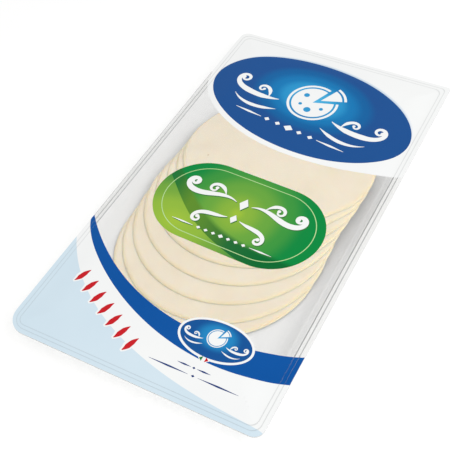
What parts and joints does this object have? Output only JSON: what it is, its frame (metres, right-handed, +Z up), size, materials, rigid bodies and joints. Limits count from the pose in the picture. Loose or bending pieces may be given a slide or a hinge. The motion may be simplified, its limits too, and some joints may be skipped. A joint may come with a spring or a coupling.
{
  "type": "sealed pack of sliced cheese",
  "caption": "Shallow rectangular clear tray with a sealed, partly printed top film and round pale cheese slices shingled inside.",
  "frame": {"origin": "under the middle of the tray's flat underside", "axes": "+Z up through the film, +Y along the pack towards the end with the large label, +X across the pack to the right of that"},
  "size_m": [0.135, 0.248, 0.0121],
  "materials": {
    "clear_tray": "clear thermoformed film, glossy",
    "printed_film": "thin clear lidding film, glossy, printed in fields of white, blue and green",
    "cheese": "pale cream semi-hard cheese, smooth and slightly moist"
  },
  "bodies": {
    "root": {"tray": "clear_tray", "slice_1": "cheese", "slice_2": "cheese", "slice_3": "cheese", "slice_4": "cheese", "slice_5": "cheese", "slice_6": "cheese", "slice_7": "cheese", "slice_8": "cheese", "film": "printed_film"}
  },
  "joints": []
}
